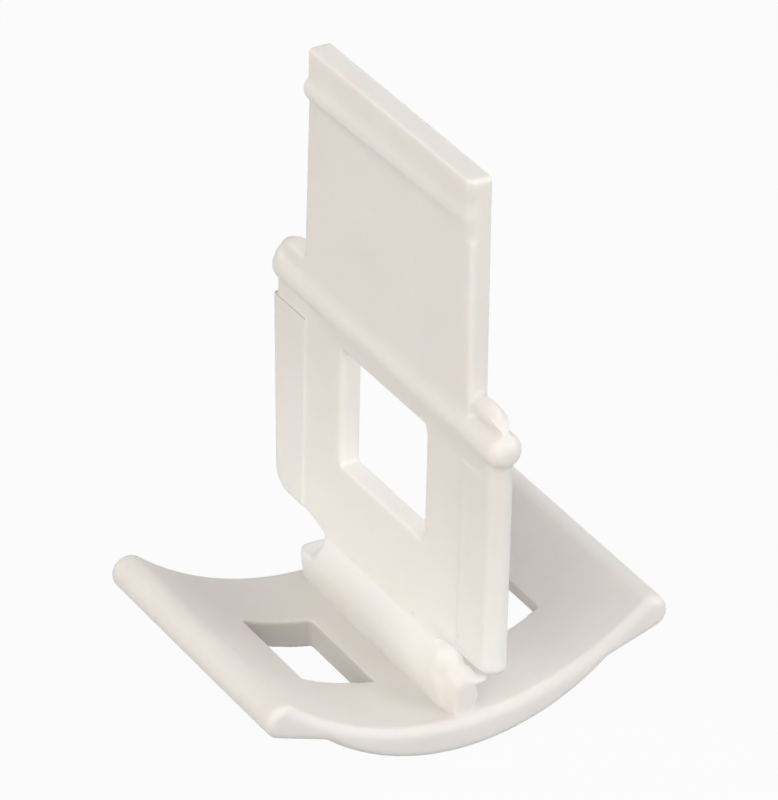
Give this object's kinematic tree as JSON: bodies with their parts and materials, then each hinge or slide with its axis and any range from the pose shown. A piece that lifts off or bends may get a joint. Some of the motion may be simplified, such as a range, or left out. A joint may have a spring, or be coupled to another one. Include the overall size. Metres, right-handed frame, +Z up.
{
  "type": "tile levelling clip",
  "caption": "Moulded plastic tile levelling clip: curved base with round lips, thin upright plate with a wedge window, a round crossbar and a narrower grip panel.",
  "frame": {"origin": "middle of the part at its lowest line, on the underside of the curved base", "axes": "+X across the plate towards its plain back face, +Y along the plate and the crossbar, +Z up towards the grip panel"},
  "size_m": [0.04, 0.0386, 0.0557],
  "materials": {
    "natural_plastic": "satin, slightly translucent off-white"
  },
  "bodies": {
    "root": {"levelling_clip": "natural_plastic"}
  },
  "joints": []
}
